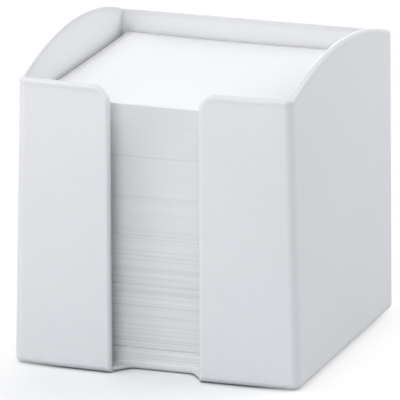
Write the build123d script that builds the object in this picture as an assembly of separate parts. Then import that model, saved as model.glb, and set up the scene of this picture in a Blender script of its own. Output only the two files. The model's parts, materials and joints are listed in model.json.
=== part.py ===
from build123d import *
import math
import os

# A desk memo box: one moulded open-topped box, nearly full of loose square note sheets.
# Millimetres. Z is up, the slotted front faces -Y, and the origin is under the middle of the box.

# Note sheets
sheet_width = 90.0
sheet_thickness = 0.1018
sheets_in_bundle = 36
bundle_count = 24

# How the sheets lie in the box
side_clearance = 0.7
back_clearance = 0.79
finger_gap = 8.03
lowest_bundle_forward = 0.4
shift_share = 0.3
turn_share = 0.25

# Moulded box: its sides lean in towards the rim, more at the front than at the back
wall = 1.8
floor_thickness = 1.8
wall_height = 97.55
arch_rise = 8.74
front_lean_share = 0.0275
back_lean_share = 0.0092
front_bow = 1.0
inner_corner_radius = 1.2
rim_outer_share = 0.75
rim_inner_share = 0.15
base_rounding_share = 0.8
notch_rounding_share = 0.75

# Finger slot in the front wall, and the notch that carries it into the floor
slot_width = 30.8
slot_corner_radius = 5.5
notch_side_run = 4.8
notch_corner_radius = 3.0
notch_ledge = 2.2

# Length by which cutting shapes pass the faces that they cut, and hair by which one stands off those it leaves
overrun = 5.0
hair = 0.02

# Worked out from the sizes above
inner_depth = sheet_width + back_clearance + finger_gap
depth = inner_depth + 2 * wall
rim_width = sheet_width + 2 * side_clearance + 2 * wall
base_width = rim_width + 2 * front_lean_share * wall_height
crown_height = wall_height + arch_rise
arch_radius = ((depth / 2) ** 2 + arch_rise**2) / (2 * arch_rise)
front_y = -depth / 2
back_y = depth / 2
inner_front_y = front_y + wall
corner_radius = inner_corner_radius + wall
stack_front_y = inner_front_y + finger_gap
stack_middle_y = stack_front_y + sheet_width / 2
bundle_height = sheets_in_bundle * sheet_thickness
stack_height = bundle_count * bundle_height
rim_outer_rounding = wall * rim_outer_share
rim_inner_rounding = wall * rim_inner_share
base_rounding = corner_radius * base_rounding_share
notch_rounding = floor_thickness * notch_rounding_share
golden_angle = math.pi * (3 - math.sqrt(5))


def plan_outline(height, inset, radius):
    """Rounded outline of the box at a height, with its front side bowed outwards, set in by a wall."""
    front_half = base_width / 2 - front_lean_share * height - inset
    back_half = base_width / 2 - back_lean_share * height - inset
    middle_y = front_y + inset
    corner_y = middle_y + front_bow
    end_y = back_y - inset
    front = ThreePointArc((-front_half, corner_y), (0, middle_y), (front_half, corner_y))
    sides = Polyline(
        (front_half, corner_y), (back_half, end_y), (-back_half, end_y), (-front_half, corner_y)
    )
    outline = make_face(Curve() + [front, sides])
    return Pos(0, 0, height) * fillet(outline.vertices(), radius)


def arched_block():
    """Solid outside of the box, under one arch that springs from its front and its back."""
    lower = plan_outline(0, 0, corner_radius)
    upper = plan_outline(crown_height + overrun, 0, corner_radius)
    block = loft([lower, upper])
    arch = Rot(0, 90, 0) * Cylinder(arch_radius, base_width + 2 * overrun)
    return block & Pos(0, 0, crown_height - arch_radius) * arch


def rounded_block():
    """Block a hair outside the box, with its base edges rounded, to round the base of the box."""
    lower = plan_outline(-hair, -hair, corner_radius + hair)
    upper = plan_outline(crown_height + overrun, -hair, corner_radius + hair)
    block = loft([lower, upper])
    return fillet(block.edges().filter_by_position(Axis.Z, -hair, -hair), base_rounding)


def cavity():
    """Room for the sheets, a wall thickness inside the outer faces."""
    lower = plan_outline(floor_thickness, wall, inner_corner_radius)
    upper = plan_outline(crown_height + overrun, wall, inner_corner_radius)
    return loft([lower, upper])


def finger_slot():
    """Slot in the front wall, from the floor up."""
    cut_depth = stack_front_y - front_y + overrun
    cut = Box(slot_width, cut_depth, crown_height, align=(Align.CENTER, Align.MAX, Align.MIN))
    return Pos(0, stack_front_y, floor_thickness) * cut


def inner_front_at(x):
    """Where the bowed inner face of the front wall meets the floor, at x from the middle."""
    half = base_width / 2 - front_lean_share * floor_thickness - wall
    bow_radius = (half**2 + front_bow**2) / (2 * front_bow)
    return inner_front_y + bow_radius - math.sqrt(bow_radius**2 - x**2)


def floor_notch():
    """Cut that carries the slot through the floor, narrowing to an edge just ahead of the sheets."""
    half = slot_width / 2
    narrow = half - notch_side_run
    outer_y = front_y - overrun
    start_y = inner_front_at(half)
    inner_y = stack_front_y - notch_ledge
    outline = Polyline(
        (-half, outer_y),
        (half, outer_y),
        (half, start_y),
        (narrow, inner_y),
        (-narrow, inner_y),
        (-half, start_y),
        close=True,
    )
    face = make_face(outline)
    face = fillet(face.vertices().sort_by(Axis.Y)[-2:], notch_corner_radius)
    return extrude(Pos(0, 0, -overrun) * face, floor_thickness + 2 * overrun)


def slot_top_edges(body):
    """The two edges where the slot's sides meet the arch, in the block before it is hollowed."""
    side_edges = body.edges().filter_by(lambda e: abs(abs(e.center().X) - slot_width / 2) < wall)
    return side_edges.sort_by(Axis.Z)[-2:]


def back_top_edges(body):
    """Top edges of the back wall, the inner one first. The rounding of each runs on round the rim."""
    upper = body.edges().filter_by(lambda e: e.center().Z > wall_height / 2)
    return upper.filter_by(lambda e: abs(e.center().X) < wall).sort_by(Axis.Y)


def notch_lower_edges(body):
    """Lower edges of the notch in the floor, between the sides of the slot."""
    lower = body.edges().filter_by_position(Axis.Z, 0, 0)
    front = lower.filter_by(lambda e: e.center().Y < 0)
    return front.filter_by(lambda e: abs(e.center().X) < slot_width / 2 - hair)


def memo_box():
    """The one moulding: floor, arched sides, back, and a front parted by the finger slot."""
    block = arched_block() - finger_slot()
    block = fillet(slot_top_edges(block), slot_corner_radius)
    body = block - cavity() - floor_notch()
    body = fillet(back_top_edges(body)[0], rim_inner_rounding)
    body = fillet(back_top_edges(body)[-1], rim_outer_rounding)
    body = fillet(notch_lower_edges(body), notch_rounding)
    return body & rounded_block()


def lying(height, turn_wave, side_wave, forward, bottom):
    """A flat square block among the sheets, a little turned and shifted as loose sheets are."""
    slack = side_clearance * shift_share
    turn = math.degrees(math.asin(2 * side_clearance * turn_share / sheet_width)) * turn_wave
    place = Pos(slack * side_wave, stack_middle_y + slack * turn_wave - forward, bottom)
    block = Box(sheet_width, sheet_width, height, align=(Align.CENTER, Align.CENTER, Align.MIN))
    return place * Rot(0, 0, turn) * block


def sheet_bundle(index):
    """One bundle of sheets, counted from the floor up. The lowest has slipped forward a little."""
    forward = lowest_bundle_forward if index == 0 else 0
    angle = index * golden_angle
    bottom = floor_thickness + index * bundle_height
    return lying(bundle_height, math.sin(angle), math.cos(angle), forward, bottom)


def top_sheet():
    """The uppermost sheet, the next one to be taken."""
    return lying(sheet_thickness, 0, 0, 0, floor_thickness + stack_height)


os.makedirs("parts", exist_ok=True)
export_step(memo_box(), "parts/memo_box.step")
for index in range(bundle_count):
    export_step(sheet_bundle(index), f"parts/sheet_bundle_{index + 1:02d}.step")
export_step(top_sheet(), "parts/top_sheet.step")
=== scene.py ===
import json
import math

import bpy
import numpy as np
from bpy.props import FloatProperty, FloatVectorProperty, IntProperty, PointerProperty
from mathutils import Matrix, Vector

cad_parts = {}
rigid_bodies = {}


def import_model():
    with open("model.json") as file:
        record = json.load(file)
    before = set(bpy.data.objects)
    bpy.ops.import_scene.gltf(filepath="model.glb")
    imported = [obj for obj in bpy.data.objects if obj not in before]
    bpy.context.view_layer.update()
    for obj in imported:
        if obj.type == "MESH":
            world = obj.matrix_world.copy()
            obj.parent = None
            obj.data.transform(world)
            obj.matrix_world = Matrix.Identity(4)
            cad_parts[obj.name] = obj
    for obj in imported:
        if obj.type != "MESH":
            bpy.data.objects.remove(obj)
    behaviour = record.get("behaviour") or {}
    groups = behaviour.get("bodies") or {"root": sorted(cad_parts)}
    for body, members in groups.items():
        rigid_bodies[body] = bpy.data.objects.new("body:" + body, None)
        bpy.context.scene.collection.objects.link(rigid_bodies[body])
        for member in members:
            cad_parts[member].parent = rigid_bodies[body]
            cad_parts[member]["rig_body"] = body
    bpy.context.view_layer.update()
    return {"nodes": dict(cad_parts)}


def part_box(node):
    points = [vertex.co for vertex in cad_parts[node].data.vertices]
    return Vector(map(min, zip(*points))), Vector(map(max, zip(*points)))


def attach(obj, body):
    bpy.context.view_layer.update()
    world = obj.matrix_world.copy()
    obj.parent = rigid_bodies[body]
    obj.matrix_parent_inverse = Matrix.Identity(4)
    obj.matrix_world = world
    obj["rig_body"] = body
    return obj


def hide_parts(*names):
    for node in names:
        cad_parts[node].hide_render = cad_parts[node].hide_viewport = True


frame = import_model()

bl_info = {
    "name": "Memo box",
    "version": (1, 0, 0),
    "blender": (4, 5, 0),
    "location": "3D View > Sidebar > Memo box",
    "description": "Dresses a moulded memo box and its loose note sheets",
    "category": "Object",
}

# What the frame gives
BOX_NODE = "memo_box"
TOP_NODE = "top_sheet"
BUNDLE_NODES = sorted(name for name in frame["nodes"] if name.startswith("sheet_bundle_"))
BOX_LOW, BOX_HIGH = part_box(BOX_NODE)
SHEET_LOW, SHEET_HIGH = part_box(TOP_NODE)
STACK_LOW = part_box(BUNDLE_NODES[0])[0].z
STACK_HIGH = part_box(BUNDLE_NODES[-1])[1].z

# Marks in the plastic: grains to a metre, and how far each mark changes colour and roughness
FLOW_SCALE = 22.0
RUB_SCALE = 420.0
FLOW_SHARE = 0.6  # of the tone, the rest being rubs
TONE_STEP = (0.3, 0.7)
TONE_RANGE = (0.985, 1.012)
ARCH_RISE = 0.00874  # of the rim above the tops of the front and back walls
RIM_WEAR_AND_SHADE_DEPTHS = (0.0004, 0.0030)  # below the rim, where the smoothing by hands and the painted shade on the rim begin to fade, and where they end
SCUFFED_HEIGHTS = (0.0006, 0.0035)  # above the desk, where the scuffs begin to fade and end
SCUFF_STEP = (0.45, 0.62)
SCUFF_SHARE = 0.5
SCUFF_ROUGHNESS = 0.12
FLOW_ROUGHNESS = 0.07
RUB_ROUGHNESS = 0.04
SATIN_DROP = 0.05  # makes up for what flow marks and rubs add to the roughness
GRAIN_STRENGTH = 0.6
PLASTIC_IOR = 1.49

# Marks in the paper: grains to a metre, and shares of the shade colour, which on the cut edges is painted
# shade
CLOUD_SCALE = 240.0
KNIFE_SCALE = (1800.0, 1800.0, 90.0)  # the marks of the knife run upright
CLUMP_STEP = (0.35, 0.65)
CLUMP_SHADE = 0.02
CLOUD_SHADE = 0.015
EDGE_SHADE = 0.19  # of every cut edge: painted shade that keeps the sides of the stack darker than its top
TONE_SHADE = 0.42  # of a cut edge whose tone is 1: the painted shade of the dark lines
KNIFE_SHADE = 0.03
KNIFE_RELIEF = 0.6
RELIEF_DEPTH = 0.000012
RELIEF_STRENGTH = 0.5
PAPER_ROUGHNESS = 0.78
CLUMP_ROUGHNESS = 0.12
PAPER_SPECULAR = 0.25

# How loose sheets lie: chances for a sheet, turns in radians, each sheet's tone with its painted shade, and
# heights above the desk in metres
CHANCE_SEED = 18
LIE_SHARE = 0.25  # of a bundle's shift and turn, which its sheets follow
RUN_CHANCE = 0.09
RUN_LEAN = 0.9  # of a slip, by which the runs stand forward
RUN_TURN = math.radians(0.05)
SHEET_TURN = math.radians(0.02)
SHEET_TONE = 0.06
# Fine dark lines on the cut edges are painted shade, standing in for the shade between sheets
LINE_CHANCE = 0.12
LINE_SHEETS = 3
LINE_PAINTED_SHADE = 0.2  # at least, and 1 at most
LINE_FADE_TOP = 0.078
LINE_FADE_LENGTH = 0.035
LINE_FADE_RANGE = (0.15, 1.7)
# Painted shade on the upper sheets' cut edges, darker towards the top of the stack
UPPER_PAINTED_SHADE = 0.72
UPPER_SHADE_FROM = 0.055
UPPER_SHADE_LENGTH = 0.03
SET_BACK_HEIGHTS = np.array([0.0725, 0.0587, 0.0457, 0.0388, 0.0313, 0.0287, 0.0258, 0.0179])
SET_BACK_HALF = 0.00021  # of the height of a run that is set back
DEEP_HEIGHT = 0.0069  # of the one run that is set back further
DEEP_HALF = 0.0003
DEEP_SHARE = 2
SLIPPED_SHEETS = 6
SLIPPED_FORWARD = 0.0011

# Sheets as meshes: cells along a side, and how the top sheet lies and curls
SHEET_STEPS = 4
TOP_STEPS = 32
TOP_FORWARD = 0.0001
CURL_POWER = 2.2
FRONT_CURL_SHARE = 0.5

# Floor and sky: the oblong under the box and its shadow, and how far shadow and the painted contact shade
# reach, in metres
WHITE = (1.0, 1.0, 1.0, 1.0)
SKY_COLOUR = (0.86, 0.91, 1.0, 1.0)
SHADOW_MIDDLE = (0.0, -0.030, 0.0)
SHADOW_HALF = (0.030, 0.058, 0.0)
SHADOW_REACH = 0.035
CONTACT_REACH = 0.005
CONTACT_OPEN = 0.85  # share of open air at which the painted contact shade has faded
CONTACT_SHARE = 0.45  # of the floor's bounce, at the darkest of the painted contact shade

# Place and width of each lamp in metres, the point that all face, and the camera's sensor and reach
LAMPS = {
    "front_lamp": ((0.000, -0.580, 0.205), 0.25),
    "right_lamp": ((0.127, -0.475, 0.394), 0.25),
    "upper_lamp": ((-0.248, -0.248, 0.656), 0.44),
    "back_lamp": ((0.532, 0.307, 0.480), 0.60),
    "left_lamp": ((-0.335, -0.193, 0.154), 0.25),
    "fill_lamp": ((-0.352, 0.610, 0.306), 0.60),
}
LAMP_AIM = Vector((0.0, 0.0, 0.05))
SENSOR_MILLIMETRES = 36.0
CAMERA_REACH = 20.0


def colour_property(name, description, default):
    """A colour that a user may change."""
    return FloatVectorProperty(
        name=name, description=description, subtype="COLOR", size=3, min=0.0, max=1.0, default=default,
    )


def share_property(name, description, default, least=0.0):
    """A share, up to 1, that a user may change."""
    return FloatProperty(
        name=name, description=description, subtype="FACTOR", min=least, max=1.0, default=default,
    )


def length_property(name, description, default):
    """A length in metres that a user may change."""
    return FloatProperty(name=name, description=description, unit="LENGTH", default=default)


def place_property(name, description, default):
    """A place in metres that a user may change."""
    return FloatVectorProperty(
        name=name, description=description, subtype="TRANSLATION", size=3, default=default,
    )


def power_property(name, description, default):
    """The power of a lamp in watts, which a user may change."""
    return FloatProperty(name=name, description=description, unit="POWER", default=default)


class MouldingSettings(bpy.types.PropertyGroup):
    """Finish of the moulded box."""

    colour: colour_property("Colour", "Colour of the plastic", (0.813, 0.815, 0.828))
    # Painted shade: the rim's greyer colour tones down the highlight on the rounded rim
    rim_shade_colour: colour_property(
        "Rim colour", "Colour of the rim, which hands have greyed a little", (0.75, 0.753, 0.768)
    )
    scuff_colour: colour_property(
        "Scuff colour", "Colour that the base edge takes from desk tops", (0.72, 0.725, 0.74)
    )
    roughness: share_property("Roughness", "Roughness of the satin faces", 0.46)
    rim_roughness: share_property("Rim roughness", "Roughness of the rim, which hands have smoothed", 0.34)
    grain_size: length_property("Grain size", "Width of one grain of the moulded texture", 0.00022)
    grain_depth: length_property("Grain depth", "Depth of the moulded texture", 0.000012)


class SheetSettings(bpy.types.PropertyGroup):
    """Size, lie and finish of the note sheets."""

    colour: colour_property("Colour", "Colour of the paper", (0.915, 0.915, 0.92))
    # The shade colour serves the painted shade of the cut edges and the fibre clumps and clouds
    shade_colour: colour_property(
        "Shade colour", "Colour of the dark lines between sheets", (0.70, 0.705, 0.72)
    )
    width: length_property("Width", "Side of a square sheet", SHEET_HIGH.x - SHEET_LOW.x)
    count: IntProperty(name="Sheets in a bundle", description="Sheets in one bundle", min=1, default=36)
    paper_share: share_property(
        "Paper share", "Share of a sheet's height that is paper, the rest being air", 0.98, least=0.1
    )
    slip: length_property("Slip", "How far runs of sheets slip from each other", 0.00004)
    jitter: length_property("Jitter", "How far single sheets slip", 0.00002)
    set_back: length_property("Set back", "How far the few sheets that make dark lines are set back", 0.0005)
    corner_lift: length_property("Corner lift", "How far the top sheet's back corners curl up", 0.0007)
    fibre_size: length_property("Fibre size", "Length of the paper's fibre clumps", 0.0006)


class StageSettings(bpy.types.PropertyGroup):
    """Floor, light and camera."""

    floor_width: length_property("Floor width", "Side of the square floor", 8.0)
    floor_colour: colour_property("Floor colour", "Colour of the floor beside the box", (0.95, 0.95, 0.953))
    floor_bounce: colour_property(
        "Floor bounce", "Colour of the light that the floor throws back on the box", (0.54, 0.555, 0.585)
    )
    sky_strength: FloatProperty(
        name="Sky strength", description="Strength of the light from all round", min=0.0, default=0.2,
    )
    front_lamp_power: power_property("Front lamp power", "Power of the low soft lamp straight ahead", 0.77)
    right_lamp_power: power_property(
        "Right lamp power", "Power of the soft lamp ahead and to the right", 0.46
    )
    upper_lamp_power: power_property("Upper lamp power", "Power of the soft lamp above the front left", 1.85)
    back_lamp_power: power_property(
        "Back lamp power", "Power of the large soft lamp behind the back right corner", 3.3
    )
    left_lamp_power: power_property("Left lamp power", "Power of the low soft lamp on the left", 0.3)
    fill_lamp_power: power_property(
        "Fill lamp power", "Power of the large low lamp behind the back left corner", 1.9
    )
    camera_place: place_property("Camera place", "Where the camera stands", (0.64198, -1.81467, 0.593))
    camera_aim: place_property(
        "Camera aim", "Point at the middle of the picture", (-0.001532, -0.001256, 0.047612)
    )
    camera_roll: FloatProperty(
        name="Camera roll", description="Turn of the camera about its line of sight", subtype="ANGLE",
        default=math.radians(-0.2075),
    )
    camera_lens: FloatProperty(
        name="Camera lens", description="Focal length in millimetres, on a sensor 36 mm wide", default=536.94,
    )


class Link:
    """A socket of a node tree. Sums, products and powers of links and numbers add Math nodes to the tree."""

    def __init__(self, tree, socket=None):
        self.tree = tree
        self.socket = socket

    def node(self, kind, sockets=(), output=0, **settings):
        """Adds a node: its settings are set first, then its sockets take numbers, colours or links."""
        made = self.tree.nodes.new(kind)
        for name, value in settings.items():
            setattr(made, name, value)
        for key, value in dict(sockets).items():
            if isinstance(value, Link):
                self.tree.links.new(value.socket, made.inputs[key])
            else:
                made.inputs[key].default_value = value
        return Link(self.tree, made.outputs[output] if len(made.outputs) else None)

    def other(self, output):
        """Another output of the node that this link leaves."""
        return Link(self.tree, self.socket.node.outputs[output])

    def maths(self, operation, first, second):
        """A Math node on two links or numbers."""
        return self.node("ShaderNodeMath", {0: first, 1: second}, operation=operation)

    def __add__(self, value):
        return self.maths("ADD", self, value)

    def __sub__(self, value):
        return self.maths("SUBTRACT", self, value)

    def __rsub__(self, value):
        return self.maths("SUBTRACT", value, self)

    def __mul__(self, value):
        return self.maths("MULTIPLY", self, value)

    def __pow__(self, value):
        return self.maths("POWER", self, value)

    __radd__ = __add__
    __rmul__ = __mul__

    def vector(self, operation, second=(0.0, 0.0, 0.0), output="Vector"):
        """A Vector Math node on this link and, where the operation takes one, a second vector."""
        return self.node("ShaderNodeVectorMath", {0: self, 1: second}, output, operation=operation)

    def step(self, low, high):
        """A smooth step from 0 at low to 1 at high."""
        ends = {"Value": self, "From Min": low, "From Max": high}
        return self.node("ShaderNodeMapRange", ends, interpolation_type="SMOOTHSTEP")

    def noise(self, scale, detail):
        """Soft noise about one half, at a place given by this link, with so many grains to a metre."""
        sockets = {"Vector": self, "Scale": scale, "Detail": detail}
        return self.node("ShaderNodeTexNoise", sockets, output="Fac")

    def blend(self, first, second):
        """Mixes two colours, from the first where this link is 0 to the second where it is 1."""
        sockets = {0: self, 6: first, 7: second}
        return self.node("ShaderNodeMix", sockets, output=2, data_type="RGBA")

    def bump(self, depth, strength):
        """A normal roughened by this link as a height, with so much depth in metres."""
        sockets = {"Height": self, "Distance": depth, "Strength": strength}
        return self.node("ShaderNodeBump", sockets)


def new_tree(owner):
    """Empties an owner's node tree and gives a link to start from."""
    owner.use_nodes = True
    owner.node_tree.nodes.clear()
    return Link(owner.node_tree)


def colour4(colour, share=1.0):
    """A colour times a share, with an alpha of 1, as colour sockets take it."""
    return (*(Vector(colour) * share), 1.0)


def below_rim(along, height):
    """Depth below the rim, which lies on one cylinder across the box: its radius less the distance from its
    axis. Half the box's depth is half the arch's chord, which with the rise gives the radius."""
    half_depth = (BOX_HIGH.y - BOX_LOW.y) / 2
    radius = (half_depth**2 + ARCH_RISE**2) / (2 * ARCH_RISE)
    up = height - (BOX_HIGH.z - radius)
    return radius - (along * along + up * up) ** 0.5


def moulded_plastic(settings):
    """Satin white plastic: fine spark-eroded grain, faint flow marks, a rim smoothed by hands and greyed with
    painted shade that tones down its highlight, and a scuffed base."""
    material = bpy.data.materials.new("moulded_plastic")
    start = new_tree(material)
    place = start.node("ShaderNodeTexCoord", output="Object")
    height = place.node("ShaderNodeSeparateXYZ", {0: place}, output="Z")
    grain = place.noise(1 / settings.grain_size, detail=2.0)
    flow = place.noise(FLOW_SCALE, detail=3.0)
    rubs = place.noise(RUB_SCALE, detail=4.0)

    rim_wear_and_shade = 1 - below_rim(height.other("Y"), height).step(*RIM_WEAR_AND_SHADE_DEPTHS)
    scuffed = (1 - height.step(*SCUFFED_HEIGHTS)) * rubs.step(*SCUFF_STEP)
    tone = (flow * FLOW_SHARE + rubs * (1 - FLOW_SHARE)).step(*TONE_STEP)
    darkest, palest = (colour4(settings.colour, share) for share in TONE_RANGE)
    # Painted shade: near the rim the colour turns greyer, which tones down the rim's highlight
    greyed = rim_wear_and_shade.blend(tone.blend(darkest, palest), colour4(settings.rim_shade_colour))
    colour = (scuffed * SCUFF_SHARE).blend(greyed, colour4(settings.scuff_colour))

    satin = settings.roughness - SATIN_DROP + FLOW_ROUGHNESS * flow + RUB_ROUGHNESS * rubs
    smoothed = rim_wear_and_shade * (settings.rim_roughness - settings.roughness)
    shader = start.node(
        "ShaderNodeBsdfPrincipled",
        {
            "Base Color": colour,
            "Roughness": satin + smoothed + scuffed * SCUFF_ROUGHNESS,
            "Normal": grain.bump(settings.grain_depth, GRAIN_STRENGTH),
            "IOR": PLASTIC_IOR,
        },
    )
    start.node("ShaderNodeOutputMaterial", {"Surface": shader})
    return material


def note_paper(settings):
    """Uncoated white paper: clumps of fibre, and cut edges with knife marks, each sheet's a little apart in
    tone. The cut edges are darkened with painted shade, more on the fine dark lines between sheets."""
    material = bpy.data.materials.new("note_paper")
    start = new_tree(material)
    place = start.node("ShaderNodeTexCoord", output="Object")
    # The sheet tone attribute carries each sheet's own tone together with painted shade
    tone = start.node("ShaderNodeAttribute", output="Fac", attribute_name="sheet_tone")
    edge = start.node("ShaderNodeAttribute", output="Fac", attribute_name="cut_edge")
    clumps = place.noise(1 / settings.fibre_size, detail=4.0)
    cloud = place.noise(CLOUD_SCALE, detail=3.0)
    upright = place.node("ShaderNodeMapping", {"Vector": place, "Scale": KNIFE_SCALE})
    knife = upright.noise(1.0, detail=2.0)

    # Painted shade on the cut edges: an even share, more where the sheet tone attribute carries painted
    # shade, and a little from knife marks
    edge_shade = edge * (EDGE_SHADE + TONE_SHADE * tone + KNIFE_SHADE * knife)
    shade = CLUMP_SHADE * (1 - clumps.step(*CLUMP_STEP)) + CLOUD_SHADE * cloud + edge_shade
    relief = clumps + edge * knife * KNIFE_RELIEF
    shader = start.node(
        "ShaderNodeBsdfPrincipled",
        {
            "Base Color": shade.blend(colour4(settings.colour), colour4(settings.shade_colour)),
            "Roughness": PAPER_ROUGHNESS + CLUMP_ROUGHNESS * clumps,
            "Normal": relief.bump(RELIEF_DEPTH, RELIEF_STRENGTH),
            "Specular IOR Level": PAPER_SPECULAR,
        },
    )
    start.node("ShaderNodeOutputMaterial", {"Surface": shader})
    return material


def quad_mesh(name, points, quads, marks):
    """A mesh object of four-sided faces, with named lists of numbers on its points or its faces."""
    mesh = bpy.data.meshes.new(name)
    mesh.vertices.add(len(points))
    mesh.vertices.foreach_set("co", points.astype(np.float32).ravel())
    mesh.loops.add(quads.size)
    mesh.loops.foreach_set("vertex_index", quads.astype(np.int32).ravel())
    mesh.polygons.add(len(quads))
    mesh.polygons.foreach_set("loop_start", np.arange(len(quads), dtype=np.int32) * 4)
    for mark, (domain, values) in marks.items():
        mesh.attributes.new(mark, "FLOAT", domain).data.foreach_set("value", values.astype(np.float32))
    mesh.update(calc_edges=True)
    piece = bpy.data.objects.new(name, mesh)
    bpy.context.scene.collection.objects.link(piece)
    return piece


def slab_faces(steps):
    """Faces of one closed slab of two square grids, the lower one first, and which of them are its cut edges.

    The upper grid's faces run one way round, the lower grid's the other way, and a strip of faces joins the
    two outlines.
    """
    across = steps + 1
    index = np.arange(across * across).reshape(across, across)
    cells = np.stack([index[:-1, :-1], index[:-1, 1:], index[1:, 1:], index[1:, :-1]], -1).reshape(-1, 4)
    rim = np.concatenate([index[0, :-1], index[:-1, -1], index[-1, :0:-1], index[:0:-1, 0]])
    after = np.roll(rim, -1)
    upper = across * across
    strip = np.stack([rim, after, after + upper, rim + upper], -1)
    faces = np.concatenate([cells[:, ::-1], cells + upper, strip])
    edge = np.concatenate([np.zeros(2 * len(cells)), np.ones(len(strip))])
    return faces, edge


def corner_curl(across, back, settings):
    """Rise of a curled sheet at a place given from -1 to 1 each way.

    It is a power of the distance from the middle line times the square of the distance from the front, and a
    share of the same at the front left corner, by the squares of the distances from the right and the back.
    """
    rear = np.abs(across) ** CURL_POWER * ((1 + back) / 2) ** 2
    front_left = ((1 - across) / 2) ** 2 * ((1 - back) / 2) ** 2
    return settings.corner_lift * (rear + FRONT_CURL_SHARE * front_left)


def sheet_slabs(name, middles, turns, bottoms, thickness, tones_and_shade, curls, steps, settings):
    """Square sheets, one slab each: a square grid turned about its middle, at a bottom and a thickness above
    it, raised by its share of the curl. The cut edges are shaded flat, so that the corners of the stack stay
    crisp."""
    along = np.linspace(-1.0, 1.0, steps + 1)
    back, across = np.meshgrid(along, along, indexing="ij")
    half = settings.width / 2
    cosine = np.cos(turns)[:, None, None]
    sine = np.sin(turns)[:, None, None]
    x = middles[:, 0, None, None] + half * (across * cosine - back * sine)
    y = middles[:, 1, None, None] + half * (across * sine + back * cosine)
    low = bottoms[:, None, None] + curls[:, None, None] * corner_curl(across, back, settings)
    levels = np.stack([low, low + thickness], 1)
    flat = [np.broadcast_to(side[:, None], levels.shape) for side in (x, y)]
    points = np.stack([*flat, levels], -1)
    faces, edge = slab_faces(steps)
    per_sheet = levels[0].size
    quads = faces[None] + np.arange(len(turns))[:, None, None] * per_sheet
    marks = {
        "sheet_tone": ("POINT", np.repeat(tones_and_shade, per_sheet)),
        "cut_edge": ("FACE", np.tile(edge, len(turns))),
    }
    piece = quad_mesh(name, points.reshape(-1, 3), quads.reshape(-1, 4), marks)
    piece.data.polygons.foreach_set("use_smooth", np.tile(edge == 0, len(turns)))
    return piece


def lie_of(node):
    """Middle, turn, bottom and top of a block of sheets, from its node's corners. The turn is the angle of
    the corner at the back right, less an eighth of a circle."""
    mesh = frame["nodes"][node].data
    points = np.empty(len(mesh.vertices) * 3, np.float32)
    mesh.vertices.foreach_get("co", points)
    points = points.reshape(-1, 3)
    low, high = points.min(0), points.max(0)
    middle = (low + high) / 2
    flat = points[:, :2] - middle[:2]
    corner = flat[np.argmax(flat.sum(1))]
    return middle[:2], math.atan2(corner[1], corner[0]) - math.pi / 4, low[2], high[2]


def eased_lie(lies, index, heights):
    """Middle and turn of one bundle's sheets at their heights.

    They change along straight lines from the lie at each bundle's middle to that of the next, and stay nearer
    to the mean than the bundles do, so that no step shows between them. The lowest bundle has slipped, and
    keeps its own lie.
    """
    rows = np.array([(*middle, turn, (low + high) / 2) for middle, turn, low, high in lies])
    slipped, settled = rows[:1], rows[1:]
    mean = settled[:, :3].mean(0)
    settled[:, :3] = mean + (settled[:, :3] - mean) * LIE_SHARE
    known = slipped if index == 0 else settled
    return (np.interp(heights, known[:, 3], known[:, column]) for column in range(3))


def sheet_tones_and_shade(chance, singles, heights):
    """How dark each sheet's cut edges are.

    Each sheet has a faint tone of its own. At about one sheet in eight a fine line of painted shade starts, a
    few sheets thick, that is darker, and more so lower down. The upper sheets' edges are darkened with
    painted shade.
    """
    total = len(heights)
    starts = np.flatnonzero(chance.random(total) < LINE_CHANCE)
    tones_and_shade = SHEET_TONE * (1 + singles)
    # Painted shade: fine dark lines a few sheets thick
    for sheet in range(LINE_SHEETS):
        inside = starts[starts + sheet < total] + sheet
        dark = LINE_PAINTED_SHADE + (1 - LINE_PAINTED_SHADE) * chance.random(len(inside)) ** 2
        tones_and_shade[inside] = np.maximum(tones_and_shade[inside], dark)
    # The painted lines are darker lower down, and the upper sheets' edges get painted shade that grows
    # towards the top
    fade = np.clip((LINE_FADE_TOP - heights) / LINE_FADE_LENGTH, *LINE_FADE_RANGE)
    greyed = np.clip((heights - UPPER_SHADE_FROM) / UPPER_SHADE_LENGTH, 0.0, 1.0)
    return tones_and_shade * fade + UPPER_PAINTED_SHADE * greyed


def stack_lie(settings):
    """How every sheet of the stack lies, from the floor up: its slip across and to the back, its turn, and
    its tone with painted shade.

    Runs of sheets slip together, because they were put in together: a new run starts at about one sheet in
    eleven, and each run and each sheet takes a slip of its own from a fixed list of chances. A few thin runs
    are set back and make the strong dark lines of the stack's front. The lowest few have slipped forward.
    """
    total = settings.count * len(BUNDLE_NODES)
    heights = STACK_LOW + (np.arange(total) + 0.5) * (STACK_HIGH - STACK_LOW) / total
    chance = np.random.default_rng(CHANCE_SEED)
    run = np.cumsum(chance.random(total) < RUN_CHANCE)
    runs = chance.uniform(-1.0, 1.0, (run[-1] + 1, 4))[run]
    singles = chance.uniform(-1.0, 1.0, (total, 4))
    across = settings.slip * runs[:, 0] + settings.jitter * singles[:, 0]
    back = settings.slip * (runs[:, 1] - RUN_LEAN) + settings.jitter * singles[:, 1]
    turns = RUN_TURN * runs[:, 2] + SHEET_TURN * singles[:, 2]
    tones_and_shade = sheet_tones_and_shade(chance, singles[:, 3], heights)

    back[np.abs(heights[:, None] - SET_BACK_HEIGHTS).min(1) < SET_BACK_HALF] = settings.set_back
    back[np.abs(heights - DEEP_HEIGHT) < DEEP_HALF] = DEEP_SHARE * settings.set_back
    back[:SLIPPED_SHEETS] = -SLIPPED_FORWARD
    return across, back, turns, tones_and_shade


def stand_for_node(piece, node, paper):
    """Gives a piece the paper, makes it move as a node of sheets does, and hides that node."""
    piece.data.materials.append(paper)
    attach(piece, frame["nodes"][node]["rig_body"])
    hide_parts(node)


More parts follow.
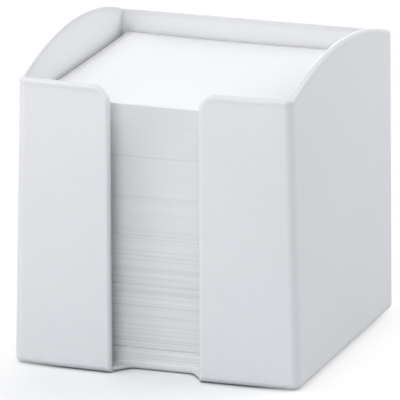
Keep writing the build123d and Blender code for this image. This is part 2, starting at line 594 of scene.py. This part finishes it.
class MEMO_OT_finish_moulding(bpy.types.Operator):
    """Give the moulded box its satin plastic"""

    bl_idname = "memo.finish_moulding"
    bl_label = "Finish the moulding"

    def execute(self, context):
        box = frame["nodes"][BOX_NODE]
        box.data.materials.clear()
        box.data.materials.append(moulded_plastic(context.scene.memo_moulding))
        return {"FINISHED"}


class MEMO_OT_lay_sheets(bpy.types.Operator):
    """Lay the single sheets of every bundle in the box"""

    bl_idname = "memo.lay_sheets"
    bl_label = "Lay the sheets"

    def execute(self, context):
        settings = context.scene.memo_sheets
        paper = note_paper(settings)
        across, back, turns, tones_and_shade = stack_lie(settings)
        lies = [lie_of(node) for node in BUNDLE_NODES]
        order = np.arange(settings.count)
        for index, node in enumerate(BUNDLE_NODES):
            own = slice(index * settings.count, (index + 1) * settings.count)
            low, high = lies[index][2:]
            pitch = (high - low) / settings.count
            bottoms = low + pitch * order
            x, y, turn = eased_lie(lies, index, bottoms)

            # The sheets of the highest bundle curl more and more, up to the top sheet's own curl
            curls = (order / settings.count) ** 2 if node == BUNDLE_NODES[-1] else np.zeros(settings.count)
            piece = sheet_slabs(
                node.replace("sheet_bundle", "sheets"),
                np.stack([x + across[own], y + back[own]], -1),
                turn + turns[own],
                bottoms,
                pitch * settings.paper_share,
                tones_and_shade[own],
                curls,
                SHEET_STEPS,
                settings,
            )
            stand_for_node(piece, node, paper)
        return {"FINISHED"}


class MEMO_OT_lay_top_sheet(bpy.types.Operator):
    """Lay the uppermost sheet, whose corners curl up a little"""

    bl_idname = "memo.lay_top_sheet"
    bl_label = "Lay the top sheet"

    def execute(self, context):
        settings = context.scene.memo_sheets
        middle, turn, low, high = lie_of(TOP_NODE)
        piece = sheet_slabs(
            "uppermost_sheet",
            np.array([[middle[0], middle[1] - TOP_FORWARD]]),
            np.array([turn]),
            np.array([low]),
            (high - low) * settings.paper_share,
            np.array([0.0]),
            np.array([1.0]),
            TOP_STEPS,
            settings,
        )
        stand_for_node(piece, TOP_NODE, bpy.data.materials["note_paper"])
        return {"FINISHED"}


def seen_directly(start):
    """1 for rays from the camera, and for those that a mirror or a glass sends on."""
    camera = start.node("ShaderNodeLightPath", output="Is Camera Ray")
    sent_on = camera.maths("MAXIMUM", camera.other("Is Glossy Ray"), camera.other("Is Transmission Ray"))
    return camera.maths("MAXIMUM", camera, sent_on)


def floor_finish(settings):
    """Matt pale floor that keeps the box's shadow, and turns to plain white further off.

    Distance is taken from an oblong that lies under the box and reaches a little ahead of it, as the shadow
    does. A narrow line of painted contact shade follows the box where it stands on the floor.
    """
    material = bpy.data.materials.new("floor")
    start = new_tree(material)
    place = start.node("ShaderNodeTexCoord", output="Object")
    outside = place.vector("SUBTRACT", SHADOW_MIDDLE).vector("ABSOLUTE").vector("SUBTRACT", SHADOW_HALF)
    distance = outside.vector("MAXIMUM").vector("LENGTH", output="Value")
    seen = seen_directly(start)
    far = distance.step(0.0, SHADOW_REACH) * seen
    # Painted contact shade: an ambient occlusion node darkens the floor's colour, as seen and as bounced,
    # next to the box
    open_air = start.node("ShaderNodeAmbientOcclusion", {"Distance": CONTACT_REACH}, output="AO")
    clear = seen.blend(colour4(settings.floor_bounce), colour4(settings.floor_colour))
    contact = colour4(settings.floor_bounce, CONTACT_SHARE)
    colour = open_air.step(0.0, CONTACT_OPEN).blend(contact, clear)
    matt = start.node("ShaderNodeBsdfDiffuse", {"Color": colour})
    white = start.node("ShaderNodeEmission", {"Color": WHITE, "Strength": 1.0})
    shown = start.node("ShaderNodeMixShader", {0: far, 1: matt, 2: white})
    start.node("ShaderNodeOutputMaterial", {"Surface": shown})
    return material


def lay_floor(settings):
    """A square floor at the height of the box's underside."""
    corners = np.array([[-1.0, -1.0, 0.0], [1.0, -1.0, 0.0], [1.0, 1.0, 0.0], [-1.0, 1.0, 0.0]])
    floor = quad_mesh("floor", corners * settings.floor_width / 2, np.array([[0, 1, 2, 3]]), {})
    floor.data.materials.append(floor_finish(settings))


def light_all_round(settings):
    """Soft bluish light from all round, from a sky that is seen as plain white."""
    world = bpy.data.worlds.new("studio")
    bpy.context.scene.world = world
    start = new_tree(world)
    sky = start.node("ShaderNodeBackground", {"Color": SKY_COLOUR, "Strength": settings.sky_strength})
    white = start.node("ShaderNodeBackground", {"Color": WHITE, "Strength": 1.0})
    shown = start.node("ShaderNodeMixShader", {0: seen_directly(start), 1: sky, 2: white})
    start.node("ShaderNodeOutputWorld", {"Surface": shown})


def soft_lamp(name, place, width, power):
    """A square lamp that faces the middle of the box and isn't seen itself."""
    light = bpy.data.lights.new(name, "AREA")
    light.energy = power
    light.size = width
    lamp = bpy.data.objects.new(name, light)
    lamp.location = place
    lamp.rotation_euler = (LAMP_AIM - lamp.location).to_track_quat("-Z", "Y").to_euler()
    lamp.visible_camera = False
    bpy.context.scene.collection.objects.link(lamp)


def set_camera(settings):
    """A camera at its place, turned to its aim and then rolled about its line of sight."""
    lens = bpy.data.cameras.new("camera")
    lens.lens = settings.camera_lens
    lens.sensor_width = SENSOR_MILLIMETRES
    lens.clip_end = CAMERA_REACH
    camera = bpy.data.objects.new("camera", lens)
    sight = Vector(settings.camera_aim) - Vector(settings.camera_place)
    turn = sight.to_track_quat("-Z", "Y").to_matrix().to_4x4()
    roll = Matrix.Rotation(settings.camera_roll, 4, "Z")
    camera.matrix_world = Matrix.Translation(settings.camera_place) @ turn @ roll
    bpy.context.scene.collection.objects.link(camera)
    bpy.context.scene.camera = camera


class MEMO_OT_set_stage(bpy.types.Operator):
    """Set the floor, the light all round, six soft lamps and the camera"""

    bl_idname = "memo.set_stage"
    bl_label = "Set the stage"

    def execute(self, context):
        settings = context.scene.memo_stage
        context.scene.view_settings.view_transform = "Standard"
        lay_floor(settings)
        light_all_round(settings)
        for name, (place, width) in LAMPS.items():
            soft_lamp(name, place, width, getattr(settings, f"{name}_power"))
        set_camera(settings)
        return {"FINISHED"}


class MEMO_PT_pieces(bpy.types.Panel):
    """The memo box's pieces and their settings"""

    bl_idname = "MEMO_PT_pieces"
    bl_label = "Memo box"
    bl_space_type = "VIEW_3D"
    bl_region_type = "UI"
    bl_category = "Memo box"

    def draw(self, context):
        rows = (
            (context.scene.memo_moulding, ("memo.finish_moulding",)),
            (context.scene.memo_sheets, ("memo.lay_sheets", "memo.lay_top_sheet")),
            (context.scene.memo_stage, ("memo.set_stage",)),
        )
        for settings, operators in rows:
            box = self.layout.box()
            for name in settings.bl_rna.properties.keys():
                if name not in ("rna_type", "name"):
                    box.prop(settings, name)
            for operator in operators:
                box.operator(operator)


CLASSES = (
    MouldingSettings,
    SheetSettings,
    StageSettings,
    MEMO_OT_finish_moulding,
    MEMO_OT_lay_sheets,
    MEMO_OT_lay_top_sheet,
    MEMO_OT_set_stage,
    MEMO_PT_pieces,
)


def register():
    for kind in CLASSES:
        bpy.utils.register_class(kind)
    bpy.types.Scene.memo_moulding = PointerProperty(type=MouldingSettings)
    bpy.types.Scene.memo_sheets = PointerProperty(type=SheetSettings)
    bpy.types.Scene.memo_stage = PointerProperty(type=StageSettings)


def unregister():
    del bpy.types.Scene.memo_stage
    del bpy.types.Scene.memo_sheets
    del bpy.types.Scene.memo_moulding
    for kind in reversed(CLASSES):
        bpy.utils.unregister_class(kind)


def main():
    register()
    bpy.ops.memo.finish_moulding()
    bpy.ops.memo.lay_sheets()
    bpy.ops.memo.lay_top_sheet()
    bpy.ops.memo.set_stage()
    bpy.context.view_layer.update()


if __name__ == "__main__":
    main()
